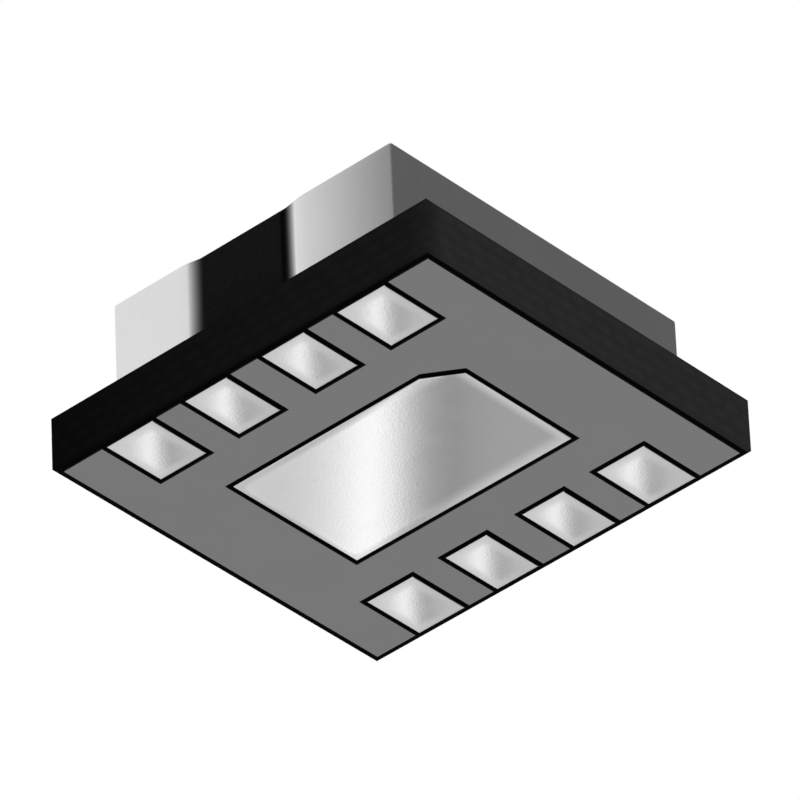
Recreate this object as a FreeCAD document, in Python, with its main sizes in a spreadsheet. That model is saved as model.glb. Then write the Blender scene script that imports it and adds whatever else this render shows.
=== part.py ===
import FreeCAD, Part
import os
import re

import Sketcher

# Buck converter module: a laminate board with a die inside it and a chip inductor soldered on top.
# The contacts face down. The origin is the centre of the plane that the contacts stand on, +X runs
# along the two rows of contacts, +Y across them and +Z up. The chamfered corner of the thermal pad
# points to +X and -Y, and pad_1 is the contact beside it.

# Driving dimensions in millimetres
SIZES = {
    "board_length": 3.0,
    "board_width": 2.8,
    "laminate_thickness": 0.37,
    "outer_copper": 0.02,
    "mask_thickness": 0.014,
    "mask_pullback": 0.048,
    "mask_clearance": 0.034,
    "pad_pitch": 0.615,
    "pad_edge_gap": 0.05,
    "pad_length": 0.46,
    "outer_pad_width": 0.37,
    "inner_pad_width": 0.335,
    "thermal_length": 1.72,
    "thermal_width": 1.07,
    "thermal_chamfer_length": 0.23,
    "thermal_chamfer_width": 0.15,
    "riser_height": 0.04,
    "riser_width": 0.08,
    "pad_riser_length": 0.26,
    "thermal_riser_length": 0.34,
    "thermal_riser_pitch": 0.28,
    "inner_copper": 0.018,
    "signal_width": 0.1,
    "power_width": 0.16,
    "landing_width": 0.12,
    "landing_length": 0.3,
    "elbow_offset": 0.68,
    "ground_width": 0.44,
    "ground_margin": 0.1,
    "bus_inset": 0.1,
    "bus_half_length": 0.62,
    "bus_post_pitch": 0.5,
    "bus_post_radius": 0.05,
    "die_length": 1.56,
    "die_width": 1.2,
    "die_thickness": 0.15,
    "die_contact_pitch": 0.4,
    "die_row_offset": 0.42,
    "die_contact_size": 0.1,
    "die_contact_height": 0.035,
    "attach_thickness": 0.012,
    "land_side_inset": 0.1,
    "land_inner_length": 0.52,
    "land_overhang": 0.2,
    "solder_standoff": 0.03,
    "solder_inset": 0.03,
    "solder_toe": 0.02,
    "inductor_end_gap": 0.38,
    "inductor_side_gap": 0.15,
    "inductor_height": 0.66,
    "terminal_thickness": 0.012,
    "output_terminal_length": 0.645,
    "switch_terminal_length": 0.8,
    "core_edge_radius": 0.02,
    "carrier_thickness": 0.04,
    "carrier_margin": 0.02,
    "coil_thickness": 0.13,
    "coil_width": 0.125,
    "coil_gap": 0.035,
    "coil_end_wall": 0.125,
    "coil_side_wall": 0.145,
    "coil_eye_radius": 0.12,
    "coil_lead_radius": 0.1,
}

# Counts
PADS_PER_ROW = 4
THERMAL_RISERS = 4
DIE_COLUMNS = 4
BUS_POSTS = 3
UPPER_HALF_TURNS = 6
LOWER_HALF_TURNS = 5
OUTER_TURNS = UPPER_HALF_TURNS / 2

# Places and sizes that follow from the driving dimensions
PLACES = {
    "pad_row": "board_width / 2 - pad_edge_gap - pad_length / 2",
    "inner_level": "outer_copper + riser_height",
    "inner_top": "inner_level + inner_copper",
    "die_level": "inner_top + die_contact_height",
    "attach_level": "die_level + die_thickness",
    "laminate_top": "outer_copper + laminate_thickness",
    "land_top": "laminate_top + outer_copper",
    "inductor_bottom": "land_top + solder_standoff",
    "inductor_length": "board_length - 2 * inductor_end_gap",
    "inductor_width": "board_width - 2 * inductor_side_gap",
    "inductor_end": "inductor_length / 2",
    "land_width": "inductor_width - 2 * land_side_inset",
    "bus_x": "inductor_end + land_overhang - bus_inset",
    "solder_reach": "land_overhang - solder_inset",
    "core_length": "inductor_length - 2 * terminal_thickness",
    "core_width": "inductor_width - 2 * terminal_thickness",
    "core_height": "inductor_height - 2 * terminal_thickness",
    "core_bottom": "inductor_bottom + terminal_thickness",
    "carrier_level": "inductor_bottom + (inductor_height - carrier_thickness) / 2",
    "coil_pitch": "coil_width + coil_gap",
    "coil_start": f"core_length / 2 - coil_end_wall - coil_width / 2 - {OUTER_TURNS} * coil_pitch",
    "coil_side": f"core_width / 2 - coil_side_wall - coil_width / 2 - {OUTER_TURNS - 1} * coil_pitch",
}

# Contact, column of the die and width of each trace that runs between one contact and the die
SIGNAL_NETS = {
    "enable_trace": (1, 4, "signal_width"),
    "input_trace": (2, 3, "power_width"),
    "feedback_trace": (6, 2, "signal_width"),
    "soft_start_trace": (7, 3, "signal_width"),
    "power_good_trace": (8, 4, "signal_width"),
}
GROUND_PAD = 3

doc = FreeCAD.newDocument("buck_converter_module")
sheet = doc.addObject("Spreadsheet::Sheet", "Sizes")


def fill_sheet():
    """Writes each driving dimension to the sheet, with its name beside it as the cell's alias."""
    for row, (name, size) in enumerate(SIZES.items(), start=1):
        sheet.set(f"A{row}", name)
        sheet.set(f"B{row}", str(size))
        sheet.setAlias(f"B{row}", name)
    doc.recompute()


def formula(text):
    """Turns the names of sizes and places in a text into the sheet's own expression."""
    def expand(match):
        word = match.group()
        if word in PLACES:
            return f"({formula(PLACES[word])})"
        return f"Sizes.{word}" if word in SIZES else word
    return re.sub(r"[a-z_]+", expand, str(text))


def value(text):
    """The present size in millimetres of a formula."""
    return float(sheet.evalExpression(formula(text)))


def bind(thing, **formulas):
    """Ties properties of an object to the sheet; x, y and z stand for its place."""
    for name, text in formulas.items():
        path = f"Placement.Base.{name}" if name in ("x", "y", "z") else name
        thing.setExpression(path, formula(text))
    return thing


def labelled(kind, label):
    """Adds an object whose name and label are the same."""
    thing = doc.addObject(kind, label)
    thing.Label = label
    return thing


def block(label, x, y, z, length, width, height):
    """Box from its lowest corner."""
    return bind(labelled("Part::Box", label), x=x, y=y, z=z, Length=length, Width=width, Height=height)


def post(label, x, y, z, radius, height):
    """Round post that stands on a point."""
    return bind(labelled("Part::Cylinder", label), x=x, y=y, z=z, Radius=radius, Height=height)


def fused(label, shapes):
    """One object from several, with the seams between flat faces taken out."""
    union = labelled("Part::MultiFuse", label)
    union.Shapes = shapes
    union.Refine = True
    return union


def cut(label, base, tool):
    """Base without the space that the tool takes."""
    rest = labelled("Part::Cut", label)
    rest.Base = base
    rest.Tool = tool
    return rest


def base_plane(body):
    """The body's own horizontal plane."""
    return next(plane for plane in body.Origin.OriginFeatures if plane.Role == "XY_Plane")


def sketch_on(body, label, level):
    """Empty sketch at a level above the body's horizontal plane."""
    sketch = body.newObject("Sketcher::SketchObject", label)
    sketch.AttachmentSupport = [(base_plane(body), "")]
    sketch.MapMode = "FlatFace"
    sketch.setExpression("AttachmentOffset.Base.z", formula(level))
    return sketch


def fix_point(sketch, geometry, vertex, x, y):
    """Ties one point of a sketch to a pair of formulas."""
    for kind, text in (("DistanceX", x), ("DistanceY", y)):
        index = sketch.addConstraint(Sketcher.Constraint(kind, geometry, vertex, value(text)))
        sketch.setExpression(f"Constraints[{index}]", formula(text))


def draw_polygon(sketch, corners):
    """Closed outline through corners that are pairs of formulas."""
    points = [FreeCAD.Vector(value(x), value(y), 0) for x, y in corners]
    edges = [
        sketch.addGeometry(Part.LineSegment(start, end))
        for start, end in zip(points, points[1:] + points[:1])
    ]
    for edge, following in zip(edges, edges[1:] + edges[:1]):
        sketch.addConstraint(Sketcher.Constraint("Coincident", edge, 2, following, 1))
    for edge, (x, y) in zip(edges, corners):
        fix_point(sketch, edge, 1, x, y)


def rectangle(length, width, x="0", y="0"):
    """Corners of a rectangle about a point."""
    west, east = f"{x} - ({length}) / 2", f"{x} + ({length}) / 2"
    south, north = f"{y} - ({width}) / 2", f"{y} + ({width}) / 2"
    return [(west, south), (east, south), (east, north), (west, north)]


def raised(body, sketch, height):
    """Material from a sketch upwards."""
    pad = body.newObject("PartDesign::Pad", f"{sketch.Label}_pad")
    pad.Profile = (sketch, [""])
    return bind(pad, Length=height)


def sunk(body, sketch, depth):
    """Material taken away from a sketch downwards."""
    before = body.Tip
    pocket = body.newObject("PartDesign::Pocket", f"{sketch.Label}_pocket")
    pocket.Profile = (sketch, [""])
    bind(pocket, Length=depth)
    doc.recompute()
    if pocket.Shape.Volume >= before.Shape.Volume:
        raise RuntimeError(f"{pocket.Label} takes nothing away")
    return pocket


def rounded(body, label, radius, chosen):
    """Fillet on the edges of the body that a test of their middle chooses."""
    doc.recompute()
    solid = body.Tip
    names = [
        f"Edge{number}"
        for number, edge in enumerate(solid.Shape.Edges, start=1)
        if chosen(edge.CenterOfMass)
    ]
    fillet = body.newObject("PartDesign::Fillet", label)
    fillet.Base = (solid, names)
    return bind(fillet, Radius=radius)


def pad_place(number):
    """Centre of a contact: 1 to 4 run against X along the front row, 5 to 8 back along the rear row."""
    if number <= PADS_PER_ROW:
        return f"{(PADS_PER_ROW + 1) / 2 - number} * pad_pitch", "-pad_row"
    return f"{number - (3 * PADS_PER_ROW + 1) / 2} * pad_pitch", "pad_row"


def pad_width(number):
    """The contacts at the corners are wider than those between them."""
    return "outer_pad_width" if number % PADS_PER_ROW in (0, 1) else "inner_pad_width"


def make_pad(number):
    """Plated contact with a copper bar that rises from it to the inner copper."""
    body = labelled("PartDesign::Body", f"pad_{number}")
    face = sketch_on(body, f"pad_{number}_face", "0")
    draw_polygon(face, rectangle(pad_width(number), "pad_length"))
    raised(body, face, "outer_copper")
    riser = sketch_on(body, f"pad_{number}_riser", "outer_copper")
    draw_polygon(riser, rectangle("riser_width", "pad_riser_length"))
    raised(body, riser, "riser_height")
    x, y = pad_place(number)
    return bind(body, x=x, y=y)


def thermal_corners(margin):
    """Outline of the thermal pad grown by a margin, with its chamfer at +X and -Y."""
    east = f"thermal_length / 2 + {margin}"
    south = f"-thermal_width / 2 - {margin}"
    corners = rectangle(f"thermal_length + 2 * {margin}", f"thermal_width + 2 * {margin}")
    corners[1:2] = [
        (f"{east} - thermal_chamfer_length", south),
        (east, f"{south} + thermal_chamfer_width"),
    ]
    return corners


def make_thermal_pad():
    """Plated thermal contact with a row of copper bars under the ground plane."""
    body = labelled("PartDesign::Body", "thermal_pad")
    face = sketch_on(body, "thermal_face", "0")
    draw_polygon(face, thermal_corners("0"))
    raised(body, face, "outer_copper")
    risers = sketch_on(body, "thermal_risers", "outer_copper")
    for index in range(THERMAL_RISERS):
        middle = f"-die_contact_pitch / 2 + {index - (THERMAL_RISERS - 1) / 2} * thermal_riser_pitch"
        draw_polygon(risers, rectangle("riser_width", "thermal_riser_length", middle))
    raised(body, risers, "riser_height")
    return body


def mask_sheet(label, level):
    """Layer of solder mask that stops short of the edges of the board."""
    body = labelled("PartDesign::Body", label)
    outline = sketch_on(body, f"{label}_outline", level)
    draw_polygon(outline, rectangle("board_length - 2 * mask_pullback", "board_width - 2 * mask_pullback"))
    raised(body, outline, "mask_thickness")
    doc.recompute()
    return body


def make_bottom_mask():
    """Mask round the contacts: the thermal pad's opening, and eight that run out to the edges."""
    level = "outer_copper - mask_thickness"
    body = mask_sheet("bottom_solder_mask", level)
    openings = sketch_on(body, "contact_openings", "outer_copper")
    draw_polygon(openings, thermal_corners("mask_clearance"))
    inner_edge = "(pad_row - pad_length / 2 - mask_clearance)"
    reach = f"board_width / 2 - {inner_edge}"
    for number in range(1, 2 * PADS_PER_ROW + 1):
        x, y = pad_place(number)
        side = -1 if y.startswith("-") else 1
        middle = f"{side} * ({inner_edge} + ({reach}) / 2)"
        draw_polygon(openings, rectangle(f"{pad_width(number)} + 2 * mask_clearance", reach, x, middle))
    sunk(body, openings, "mask_thickness")
    return body


def make_top_mask():
    """Mask with an opening round each land of the inductor."""
    body = mask_sheet("top_solder_mask", "laminate_top")
    openings = sketch_on(body, "land_openings", "laminate_top + mask_thickness")
    length = "land_inner_length + land_overhang + 2 * mask_clearance"
    for side in (-1, 1):
        middle = f"{side} * (inductor_end + (land_overhang - land_inner_length) / 2)"
        draw_polygon(openings, rectangle(length, "land_width + 2 * mask_clearance", middle))
    sunk(body, openings, "mask_thickness")
    return body


def bar(label, start, end, width):
    """Bar of inner copper between two points that share an x or a y."""
    (x_start, y_start), (x_end, y_end) = start, end
    return block(
        label,
        f"min({x_start}; {x_end}) - {width} / 2",
        f"min({y_start}; {y_end}) - {width} / 2",
        "inner_level",
        f"abs({x_end} - ({x_start})) + {width}",
        f"abs({y_end} - ({y_start})) + {width}",
        "inner_copper",
    )


def route(label, points, width):
    """Bars of inner copper through a list of points."""
    legs = zip(points, points[1:])
    return [bar(f"{label}_leg_{leg}", *ends, width) for leg, ends in enumerate(legs, start=1)]


def landing(label, number):
    """Patch of inner copper on the bar of a contact."""
    x, y = pad_place(number)
    return block(
        f"{label}_landing_{number}",
        f"{x} - landing_width / 2",
        f"{y} - landing_length / 2",
        "inner_level",
        "landing_width",
        "landing_length",
        "inner_copper",
    )


def die_contact_place(column, row):
    """Centre of a contact of the die: column 1 is at -X, and row 0 is the middle one."""
    return f"{column - (DIE_COLUMNS + 1) / 2} * die_contact_pitch", f"{row} * die_row_offset"


def make_signal_trace(label, number, column, width):
    """Trace from a contact of the board round an elbow to a contact of the die."""
    x, y = pad_place(number)
    row = -1 if number <= PADS_PER_ROW else 1
    x_die, y_die = die_contact_place(column, row)
    elbow = f"{row} * elbow_offset"
    points = [(x, y), (x, elbow), (x_die, elbow), (x_die, y_die)]
    return fused(label, [*route(label, points, width), landing(label, number)])


def make_ground_trace():
    """Ground plane over the thermal pad, with an arm to its contact and a branch under the die."""
    label = "ground_trace"
    x, y = pad_place(GROUND_PAD)
    plane = block(
        "ground_plane",
        f"{die_contact_place(1, 0)[0]} - ground_margin",
        "-ground_width / 2",
        "inner_level",
        "2 * (die_contact_pitch + ground_margin)",
        "ground_width",
        "inner_copper",
    )
    x_die, y_die = die_contact_place(2, 0)
    elbow = "-elbow_offset"
    arm = route(label, [(x, y), (x, elbow), (x_die, elbow), (x_die, y_die)], "power_width")
    branch = bar("ground_branch", die_contact_place(1, -1), die_contact_place(1, 0), "power_width")
    return fused(label, [plane, *arm, branch, landing(label, GROUND_PAD)])


def make_output_trace():
    """Output bus along the -X side, joined to two contacts and to the die's sense contact."""
    label = "output_trace"
    front, rear = pad_place(PADS_PER_ROW), pad_place(PADS_PER_ROW + 1)
    run = [front, ("-bus_x", front[1]), ("-bus_x", rear[1]), rear]
    x_die, y_die = die_contact_place(1, 1)
    sense = bar("output_sense", ("-bus_x", y_die), (x_die, y_die), "signal_width")
    landings = [landing(label, number) for number in (PADS_PER_ROW, PADS_PER_ROW + 1)]
    return fused(label, [*route(label, run, "power_width"), sense, *landings])


def make_switch_trace():
    """Switch bus along the +X side, joined to one contact of the die."""
    bus = bar("switch_bus", ("bus_x", "-bus_half_length"), ("bus_x", "bus_half_length"), "power_width")
    start = die_contact_place(DIE_COLUMNS, 0)
    neck = bar("switch_neck", start, ("bus_x", start[1]), "power_width")
    return fused("switch_trace", [bus, neck])


def make_die():
    """Silicon die with its face down on copper contacts, and the film on its back."""
    corner = ("-die_length / 2", "-die_width / 2")
    die = block("die", *corner, "die_level", "die_length", "die_width", "die_thickness")
    film = block("die_attach_film", *corner, "attach_level", "die_length", "die_width", "attach_thickness")
    contacts = []
    for row in (-1, 0, 1):
        for column in range(1, DIE_COLUMNS + 1):
            x, y = die_contact_place(column, row)
            contacts.append(block(
                f"die_contact_{column}_{row}",
                f"{x} - die_contact_size / 2",
                f"{y} - die_contact_size / 2",
                "inner_top",
                "die_contact_size",
                "die_contact_size",
                "die_contact_height",
            ))
    return [die, film, fused("die_contacts", contacts)]


def turned(piece):
    """Turns a finished piece half round, from the +X end to the -X end."""
    piece.Placement = FreeCAD.Placement(FreeCAD.Vector(), FreeCAD.Rotation(FreeCAD.Vector(0, 0, 1), 180))
    return piece


def make_land(label):
    """Land for one end of the inductor, with posts down to the bus in the inner copper."""
    plate = block(
        f"{label}_plate",
        "inductor_end - land_inner_length",
        "-land_width / 2",
        "laminate_top",
        "land_inner_length + land_overhang",
        "land_width",
        "outer_copper",
    )
    posts = [
        post(
            f"{label}_post_{index}",
            "bus_x",
            f"{index - (BUS_POSTS - 1) / 2} * bus_post_pitch",
            "inner_top",
            "bus_post_radius",
            "laminate_top - inner_top",
        )
        for index in range(BUS_POSTS)
    ]
    return fused(label, [plate, *posts])


def make_core_blank():
    """Moulded core before the winding's space is taken out of it."""
    body = labelled("PartDesign::Body", "core_blank")
    outline = sketch_on(body, "core_outline", "core_bottom")
    draw_polygon(outline, rectangle("core_length", "core_width"))
    raised(body, outline, "core_height")
    rounded(body, "core_rounding", "core_edge_radius", lambda middle: True)
    return body


def make_terminal(label, length, core_blank):
    """Plated cap over five faces of one end of the core, built at the +X end."""
    body = labelled("PartDesign::Body", f"{label}_blank")
    outline = sketch_on(body, f"{label}_outline", "inductor_bottom")
    draw_polygon(outline, rectangle(length, "inductor_width", f"inductor_end - {length} / 2"))
    raised(body, outline, "inductor_height")
    mouth = value(f"inductor_end - {length}")
    allowance = 1e-6
    outside = "core_edge_radius + terminal_thickness"
    rounded(body, f"{label}_rounding", outside, lambda middle: middle.x > mouth + allowance)
    return body, cut(label, body, core_blank)


def make_solder(label, terminal_blank):
    """Solder between a land and a terminal, with a hollow fillet up the end face."""
    mass = block(
        f"{label}_mass",
        "inductor_end - land_inner_length + solder_inset",
        "solder_inset - land_width / 2",
        "land_top",
        "land_inner_length - solder_inset + solder_reach",
        "land_width - 2 * solder_inset",
        "solder_toe + solder_reach",
    )
    hollow = labelled("Part::Cylinder", f"{label}_hollow")
    hollow.Placement.Rotation = FreeCAD.Rotation(FreeCAD.Vector(1, 0, 0), 90)
    bind(
        hollow,
        x="inductor_end + solder_reach",
        y="land_width",
        z="land_top + solder_toe + solder_reach",
        Radius="solder_reach",
        Height="2 * land_width",
    )
    return cut(label, mass, fused(f"{label}_tools", [hollow, terminal_blank]))


def arc(centre, radius, start, end):
    """Quarter arc about a centre between two directions."""
    middle = (start + end).normalize()
    points = [centre + direction * radius for direction in (start, middle, end)]
    return Part.Arc(*points).toShape()


def winding_path(half_turns):
    """Centre line of one layer, anticlockwise from the link outwards and out at one end."""
    east, north = FreeCAD.Vector(1, 0, 0), FreeCAD.Vector(0, 1, 0)
    west, south = -east, -north
    pitch = value("coil_pitch")
    radius = value("coil_eye_radius + coil_width / 2")
    half_length, half_width = value("coil_start") - radius, value("coil_side") - radius
    edges = []
    place = FreeCAD.Vector(half_length + radius, 0, 0)

    def go(point):
        nonlocal place
        edges.append(Part.LineSegment(place, point).toShape())
        place = point

    def turn(centre, bend, start, end):
        nonlocal place
        go(centre + start * bend)
        edges.append(arc(centre, bend, start, end))
        place = centre + end * bend

    for half in range(half_turns):
        bend = radius + half // 2 * pitch
        if half % 2 == 0:
            turn(FreeCAD.Vector(half_length, half_width, 0), bend, east, north)
            turn(FreeCAD.Vector(-half_length, half_width, 0), bend, north, west)
        else:
            turn(FreeCAD.Vector(-half_length, -half_width, 0), bend, west, south)
            turn(FreeCAD.Vector(half_length + pitch, -half_width, 0), bend, south, east)
    outwards = east if half_turns % 2 == 0 else west
    along = north if half_turns % 2 == 0 else south
    lead_bend = value("coil_lead_radius")
    lead_centre = FreeCAD.Vector(place.x, 0, 0) + outwards * lead_bend - along * lead_bend
    turn(lead_centre, lead_bend, -outwards, along)
    go(FreeCAD.Vector(outwards.x * value("core_length / 2 + coil_width"), 0, 0))
    return Part.Wire(edges)


def winding_layer(half_turns, level, clockwise):
    """One flat layer of the winding, trimmed flush with the ends of the core."""
    path = winding_path(half_turns)
    if clockwise:
        path = path.mirror(FreeCAD.Vector(), FreeCAD.Vector(0, 1, 0))
    outline = path.makeOffset2D(value("coil_width / 2"), join=0, fill=True, openResult=False)
    outline.translate(FreeCAD.Vector(0, 0, value(level)))
    layer = outline.extrude(FreeCAD.Vector(0, 0, value("coil_thickness")))
    length, width, height = value("core_length"), value("core_width"), value("core_height")
    corner = FreeCAD.Vector(-length / 2, -width / 2, value("core_bottom"))
    return layer.common(Part.makeBox(length, width, height, corner))


def make_coil():
    """Winding of two flat spirals, joined by a link through the carrier."""
    upper = winding_layer(UPPER_HALF_TURNS, "carrier_level + carrier_thickness", False)
    lower = winding_layer(LOWER_HALF_TURNS, "carrier_level - coil_thickness", True)
    link = Part.makeCylinder(
        value("coil_width / 2"),
        value("carrier_thickness"),
        FreeCAD.Vector(value("coil_start"), 0, value("carrier_level")),
    )
    coil = labelled("Part::Feature", "inductor_coil")
    coil.Shape = upper.fuse([lower, link]).removeSplitter()
    coil.Placement = FreeCAD.Placement()
    return coil


def make_carrier(coil):
    """Film that carries the winding, with a window for the middle of the core."""
    body = labelled("PartDesign::Body", "carrier_blank")
    outline = sketch_on(body, "carrier_outline", "carrier_level")
    length = "core_length - 2 * (coil_end_wall - carrier_margin)"
    width = "core_width - 2 * (coil_side_wall - carrier_margin)"
    draw_polygon(outline, rectangle(length, width))
    raised(body, outline, "carrier_thickness")
    doc.recompute()
    window = sketch_on(body, "carrier_window", "carrier_level + carrier_thickness")
    inset = "(coil_width + 2 * carrier_margin)"
    draw_polygon(window, rectangle(f"2 * coil_start - {inset}", f"2 * coil_side - {inset}"))
    sunk(body, window, "carrier_thickness")
    return cut("coil_carrier", body, coil)


def make_inductor():
    """Core, winding, carrier, two terminals and the solder under them."""
    core_blank = make_core_blank()
    coil = make_coil()
    carrier = make_carrier(coil)
    core = cut("inductor_core", core_blank, fused("winding_space", [coil, carrier]))
    pieces = [core, coil, carrier]
    for side in ("switch", "output"):
        blank, terminal = make_terminal(f"{side}_terminal", f"{side}_terminal_length", core_blank)
        solder = make_solder(f"{side}_solder_joint", blank)
        if side == "output":
            turned(terminal)
            turned(solder)
        pieces += [terminal, solder]
    return pieces


def make_board():
    """Contacts, traces, die and lands, and the laminate and masks that hold them."""
    contacts = [make_pad(number) for number in range(1, 2 * PADS_PER_ROW + 1)] + [make_thermal_pad()]
    traces = [make_signal_trace(label, *ends) for label, ends in SIGNAL_NETS.items()]
    traces += [make_ground_trace(), make_output_trace(), make_switch_trace()]
    die_pieces = make_die()
    lands = [make_land("switch_land"), turned(make_land("output_land"))]
    held = fused("held_in_laminate", contacts + traces + die_pieces + lands)
    blank = block(
        "laminate_blank",
        "-board_length / 2",
        "-board_width / 2",
        "outer_copper",
        "board_length",
        "board_width",
        "laminate_thickness",
    )
    laminate = cut("laminate", blank, held)
    masks = [make_bottom_mask(), make_top_mask()]
    return [laminate, *masks, *contacts, *traces, *die_pieces, *lands]


def check(pieces):
    """Stops on an object that failed or a piece whose shape is empty or broken."""
    for thing in doc.Objects:
        if {"Invalid", "Error"} & set(thing.State):
            raise RuntimeError(f"{thing.Label} failed: {thing.State}")
    for piece in pieces:
        if piece.Shape.isNull() or not piece.Shape.isValid() or not piece.Shape.Solids:
            raise RuntimeError(f"{piece.Label} has no sound shape")


def write(pieces):
    """Writes each piece to a file of its own name."""
    os.makedirs("parts", exist_ok=True)
    for piece in pieces:
        piece.Shape.exportStep(f"parts/{piece.Label}.step")


fill_sheet()
all_pieces = make_board() + make_inductor()
doc.recompute()
check(all_pieces)
write(all_pieces)
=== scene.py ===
import math

import bmesh
import bpy
from bpy.props import FloatProperty, FloatVectorProperty, IntProperty, PointerProperty
from mathutils import Euler, Matrix, Vector


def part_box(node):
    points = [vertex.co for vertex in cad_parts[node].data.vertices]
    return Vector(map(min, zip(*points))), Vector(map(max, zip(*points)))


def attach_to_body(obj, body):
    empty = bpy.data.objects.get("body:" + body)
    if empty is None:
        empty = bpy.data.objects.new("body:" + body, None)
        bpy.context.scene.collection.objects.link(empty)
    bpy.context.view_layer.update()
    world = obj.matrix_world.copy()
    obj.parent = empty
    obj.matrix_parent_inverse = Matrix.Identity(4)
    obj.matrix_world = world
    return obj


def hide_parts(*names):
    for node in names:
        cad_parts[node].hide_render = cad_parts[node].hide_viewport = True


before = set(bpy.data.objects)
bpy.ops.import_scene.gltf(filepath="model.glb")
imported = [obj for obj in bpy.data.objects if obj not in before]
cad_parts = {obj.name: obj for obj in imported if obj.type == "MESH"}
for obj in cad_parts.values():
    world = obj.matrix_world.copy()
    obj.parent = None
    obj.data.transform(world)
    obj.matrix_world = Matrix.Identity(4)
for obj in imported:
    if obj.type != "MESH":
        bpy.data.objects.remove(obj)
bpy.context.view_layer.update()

bl_info = {
    "name": "Buck converter module",
    "version": (1, 0, 0),
    "blender": (4, 5, 0),
    "location": "View3D > Sidebar > Module",
    "description": "Dresses the solids of a small power module and sets it on a pale floor",
    "category": "Object",
}

MM = 0.001
PER_MM = 1000.0
BODY = "root"
PADS_PER_ROW = 4
PADS = [f"pad_{number}" for number in range(1, 2 * PADS_PER_ROW + 1)]
TRACES = [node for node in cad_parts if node.endswith("_trace")]
# The nets at the two ends of the inductor, each with the sign of X at its end.
SIDES = {"switch": 1, "output": -1}
# Height at which the plates of the contacts end and their copper bars start.
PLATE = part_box("bottom_solder_mask")[1].z

# Distances within which vertices lie at one height or are one, and decimals that tell corners apart.
NEAR = 0.001 * MM
WELD = 1e-9
CORNER_DIGITS = 7
# Angles in degrees over which an edge stays sharp in the shading.
CONTACT_CREASE = 40
INDUCTOR_CREASE = 35
# Steps round the thermal pad's rim, and rings on its face as shares of the way in from the rim.
RIM_STEPS = 6
THERMAL_RINGS = (0.1, 0.2, 0.35, 0.5, 0.7, 0.9)
# Steps round a cap's edges, along its straight sides and along its bends, and rings on its end face.
CORNER_STEPS = 6
STRAIGHT_STEPS = 12
CAP_STEPS = 8
CAP_RINGS = (0.06, 0.15, 0.3, 0.5, 0.75)
# How deep a cap's mouth is sunk in the core, and the rounding of its section there.
SUNK = 0.002 * MM
SUNK_RADIUS = 0.02 * MM
# Waves of a cap's mouth: share of the ripple, and radians per millimetre along Y and Z.
WAVES = ((1.0, 9, 4), (0.6, 23, -17))
# Steps of a solder joint's section round the cap's edge and down the hollow.
ROLL_STEPS = 6
HOLLOW_STEPS = 16
# Powers that shape the drop of the solder's height and reach at both ends. A higher one drops later.
ARCH_POWER = 5
PLAN_POWER = 14
# Shares of its roll, height, reach and toe that the solder keeps at its ends, and of its reach that it gains.
END_ROLL, END_CREST, END_REACH, END_TOE = 0.1, 0.02, 0.02, 0.3
REACH_GAIN = 0.94
FLOOR_SEGMENTS = 96

# Sockets of a Mix node that carry colours: two inputs and the output.
MIX_FIRST, MIX_SECOND, MIX_RESULT = 6, 7, 2
# Cosines between which a face of the laminate turns from one kind of side into the other.
TURNED = (0.4, 0.6)
# Shift of each ply in yarn pitches, squeeze of a yarn's section, and its soft edge.
PLY_SHIFT = 0.37
YARN_SQUEEZE = 2.2
YARN_EDGE = (0.35, 0.9)
# The plating's fade towards -X and +X of each cap's mouth, in fade widths, and the power that shapes it.
SWITCH_FADE = (1.11, 0.44)
OUTPUT_FADE = (0.85, 1.46)
FADE_POWER = 2.2
# Middle of the wheel that ground the die, in millimetres, and radians of its arcs per millimetre.
WHEEL = (4, -3)
WHEEL_ARCS = 260

# Level direction along which metal faces curve. The studio that they mirror is lit from the other side.
ROLLED = Vector((0.7344, 0.6778))
# Studio below the horizon: pairs of place and level. The light is at place 1, and level 1 is plain white.
BELOW_LEVELS = [
    (-1.0, 0.62), (-0.45, 0.7), (-0.2, 0.7), (-0.13, 0.57), (-0.085, 0.4), (-0.05, 0.42), (-0.015, 0.8),
    (0.03, 1.55), (0.055, 1.5), (0.09, 1.0), (0.15, 0.75), (0.22, 0.66), (0.5, 0.85), (1.0, 0.95),
]
# A ramp holds levels up to 1, so it holds shares of this one.
BELOW_PEAK = 2.0
# Studio above the horizon: its darkest level, what the light and a skyline opposite it add, and the share of
# the light that a flag beside it takes away.
ABOVE_DARK, ABOVE_LIGHT, ABOVE_SKYLINE, ABOVE_FLAG = 0.24, 0.75, 0.35, 0.6
# Bearing and height of each lamp in degrees.
LAMPS = {"lamp_above": (-35, 52), "lamp_below": (-20, -60)}
# Nearest and farthest that the camera sees.
NEAREST, FARTHEST = 1 * MM, 500 * MM


def low(node):
    """Lowest corner of a solid."""
    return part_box(node)[0]


def high(node):
    """Highest corner of a solid."""
    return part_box(node)[1]


def middle(node):
    """Centre of a solid's box."""
    return (low(node) + high(node)) / 2


def extent(node):
    """Size of a solid's box."""
    return high(node) - low(node)


def box_in_mm(node):
    """Lowest and highest corner of a solid in millimetres."""
    return [corner * PER_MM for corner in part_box(node)]


def a_number(name, description, default, **rules):
    """A number with rules of its own."""
    return FloatProperty(name=name, description=description, default=default, **rules)


def a_length(name, description, default):
    """A length in metres that the sidebar shows in its own unit."""
    rules = {"min": 0.0, "precision": 6, "subtype": "DISTANCE", "unit": "LENGTH"}
    return a_number(name, description, default, **rules)


def a_factor(name, description, default):
    """A plain number from 0 to 1."""
    return a_number(name, description, default, min=0.0, max=1.0, subtype="FACTOR")


def an_angle(name, description, degrees):
    """An angle that is written in degrees."""
    return a_number(name, description, math.radians(degrees), subtype="ANGLE")


def a_tone(name, owner, *default):
    """A linear colour, or a grey from one number."""
    colour = default if len(default) == 3 else default * 3
    rules = {"min": 0.0, "max": 2.0, "subtype": "COLOR"}
    return FloatVectorProperty(name=name, description=f"Colour of the {owner}", default=colour, **rules)


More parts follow.
